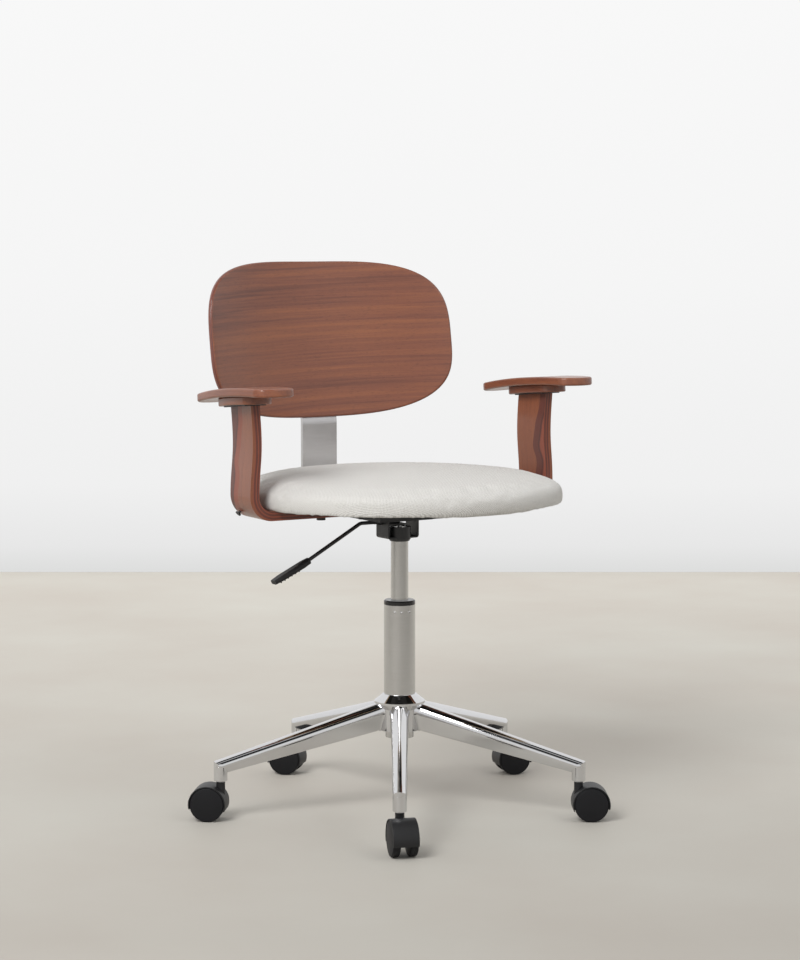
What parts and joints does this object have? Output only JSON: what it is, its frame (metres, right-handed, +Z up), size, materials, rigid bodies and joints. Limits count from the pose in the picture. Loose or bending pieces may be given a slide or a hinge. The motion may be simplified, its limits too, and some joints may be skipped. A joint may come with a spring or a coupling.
{
  "type": "swivel armchair",
  "caption": "Swivel desk chair with a bent-plywood back and arms, a fabric seat pad, a gas-lift column and a chromed star base on twin-wheel castors.",
  "frame": {"origin": "on the floor, under the axis of the gas column", "axes": "+Z up; the sitter faces -Y; the sitter's right hand is at -X"},
  "size_m": [0.6617, 0.6443, 0.8697],
  "materials": {
    "chrome": "polished chrome plate",
    "bar_chrome": "brushed chrome plate",
    "column_steel": "satin grey steel",
    "hidden_steel": "zinc plated",
    "black_steel": "black powder coat",
    "ring_black": "gloss black",
    "bush_white": "moulded, unpainted",
    "bumper_rubber": "matte black",
    "black_plastic": "fine satin grain",
    "wheel_black": "satin black nylon",
    "walnut": "lacquered walnut veneer",
    "plywood": "bare plywood",
    "seat_fabric": "light grey woven wool",
    "dust_cloth": "black underlining cloth"
  },
  "bodies": {
    "base": {"base_hub": "chrome", "base_leg_1": "chrome", "base_leg_2": "chrome", "base_leg_3": "chrome", "base_leg_4": "chrome", "base_leg_5": "chrome", "column_tube": "column_steel", "column_ring": "ring_black", "guide_bush": "bush_white", "thrust_bearing": "hidden_steel", "castor_sleeves": "hidden_steel"},
    "swivel_rod": {"piston_rod": "hidden_steel", "retaining_clip": "hidden_steel", "rubber_bumper": "bumper_rubber"},
    "seat": {"gas_tube": "column_steel", "taper_socket": "black_steel", "mechanism_bracket": "black_steel", "mechanism_doubler": "black_steel", "mechanism_plate": "black_steel", "seat_bolts": "hidden_steel", "tee_nuts": "hidden_steel", "seat_panel": "plywood", "seat_cushion": "seat_fabric", "seat_dust_cover": "dust_cloth", "arm_frame_right": "walnut", "arm_plate_right": "black_steel", "arm_support_right": "walnut", "arm_pad_right": "walnut", "arm_frame_left": "walnut", "arm_plate_left": "black_steel", "arm_support_left": "walnut", "arm_pad_left": "walnut", "arm_screws": "hidden_steel", "arm_buttons": "black_plastic", "back_bar": "bar_chrome", "back_shell": "walnut", "back_bolts": "hidden_steel"},
    "valve": {"valve_pin": "hidden_steel"},
    "lever": {"lever_rod": "black_steel", "lever_grip": "black_plastic"},
    "castor_1": {"castor_hood_1": "black_plastic", "castor_pins_1": "hidden_steel"},
    "wheel_a_1": {"castor_wheel_a_1": "wheel_black"},
    "wheel_b_1": {"castor_wheel_b_1": "wheel_black"},
    "castor_2": {"castor_hood_2": "black_plastic", "castor_pins_2": "hidden_steel"},
    "wheel_a_2": {"castor_wheel_a_2": "wheel_black"},
    "wheel_b_2": {"castor_wheel_b_2": "wheel_black"},
    "castor_3": {"castor_hood_3": "black_plastic", "castor_pins_3": "hidden_steel"},
    "wheel_a_3": {"castor_wheel_a_3": "wheel_black"},
    "wheel_b_3": {"castor_wheel_b_3": "wheel_black"},
    "castor_4": {"castor_hood_4": "black_plastic", "castor_pins_4": "hidden_steel"},
    "wheel_a_4": {"castor_wheel_a_4": "wheel_black"},
    "wheel_b_4": {"castor_wheel_b_4": "wheel_black"},
    "castor_5": {"castor_hood_5": "black_plastic", "castor_pins_5": "hidden_steel"},
    "wheel_a_5": {"castor_wheel_a_5": "wheel_black"},
    "wheel_b_5": {"castor_wheel_b_5": "wheel_black"}
  },
  "joints": [
    {"name": "seat_swivel", "type": "hinge", "parent": "base", "child": "swivel_rod", "pos_m": [0, 0, 0.2], "axis": [0, 0, 1], "continuous": true},
    {"name": "seat_height", "type": "slide", "parent": "swivel_rod", "child": "seat", "axis": [0, 0, 1], "range_m": [-0.08, 0.01]},
    {"name": "height_lever", "type": "hinge", "parent": "seat", "child": "lever", "pos_m": [-0.033, 0.012, 0.4605], "axis": [0, 1, 0], "range_deg": [0, 2.8], "stiffness_Nm_per_rad": 3, "springref_deg": -4.58},
    {"name": "valve_press", "type": "slide", "parent": "seat", "child": "valve", "axis": [0, 0, 1], "range_m": [-0.0017, 0]},
    {"name": "castor_swivel_1", "type": "hinge", "parent": "base", "child": "castor_1", "pos_m": [-0.15834, -0.24855, 0.0615], "axis": [0, 0, 1], "continuous": true},
    {"name": "wheel_turn_a_1", "type": "hinge", "parent": "castor_1", "child": "wheel_a_1", "pos_m": [-0.16501, -0.26677, 0.027], "axis": [0.9391, -0.3437, 0], "continuous": true},
    {"name": "wheel_turn_b_1", "type": "hinge", "parent": "castor_1", "child": "wheel_b_1", "pos_m": [-0.16501, -0.26677, 0.027], "axis": [0.9391, -0.3437, 0], "continuous": true},
    {"name": "castor_swivel_2", "type": "hinge", "parent": "base", "child": "castor_2", "pos_m": [0.18745, -0.2274, 0.0615], "axis": [0, 0, 1], "continuous": true},
    {"name": "wheel_turn_a_2", "type": "hinge", "parent": "castor_2", "child": "wheel_a_2", "pos_m": [0.20408, -0.23739, 0.027], "axis": [0.515, 0.8572, 0], "continuous": true},
    {"name": "wheel_turn_b_2", "type": "hinge", "parent": "castor_2", "child": "wheel_b_2", "pos_m": [0.20408, -0.23739, 0.027], "axis": [0.515, 0.8572, 0], "continuous": true},
    {"name": "castor_swivel_3", "type": "hinge", "parent": "base", "child": "castor_3", "pos_m": [0.27419, 0.10801, 0.0615], "axis": [0, 0, 1], "continuous": true},
    {"name": "wheel_turn_a_3", "type": "hinge", "parent": "castor_3", "child": "wheel_a_3", "pos_m": [0.29291, 0.10292, 0.027], "axis": [0.2622, 0.965, 0], "continuous": true},
    {"name": "wheel_turn_b_3", "type": "hinge", "parent": "castor_3", "child": "wheel_b_3", "pos_m": [0.29291, 0.10292, 0.027], "axis": [0.2622, 0.965, 0], "continuous": true},
    {"name": "castor_swivel_4", "type": "hinge", "parent": "base", "child": "castor_4", "pos_m": [-0.01799, 0.29415, 0.0615], "axis": [0, 0, 1], "continuous": true},
    {"name": "wheel_turn_a_4", "type": "hinge", "parent": "castor_4", "child": "wheel_a_4", "pos_m": [-0.03102, 0.30852, 0.027], "axis": [-0.7408, -0.6717, 0], "continuous": true},
    {"name": "wheel_turn_b_4", "type": "hinge", "parent": "castor_4", "child": "wheel_b_4", "pos_m": [-0.03102, 0.30852, 0.027], "axis": [-0.7408, -0.6717, 0], "continuous": true},
    {"name": "castor_swivel_5", "type": "hinge", "parent": "base", "child": "castor_5", "pos_m": [-0.28531, 0.07379, 0.0615], "axis": [0, 0, 1], "continuous": true},
    {"name": "wheel_turn_a_5", "type": "hinge", "parent": "castor_5", "child": "wheel_a_5", "pos_m": [-0.30045, 0.08592, 0.027], "axis": [-0.6252, -0.7804, 0], "continuous": true},
    {"name": "wheel_turn_b_5", "type": "hinge", "parent": "castor_5", "child": "wheel_b_5", "pos_m": [-0.30045, 0.08592, 0.027], "axis": [-0.6252, -0.7804, 0], "continuous": true}
  ],
  "couplings": [
    {"joint": "valve_press", "follows": "height_lever", "m_per_rad": -0.033}
  ]
}
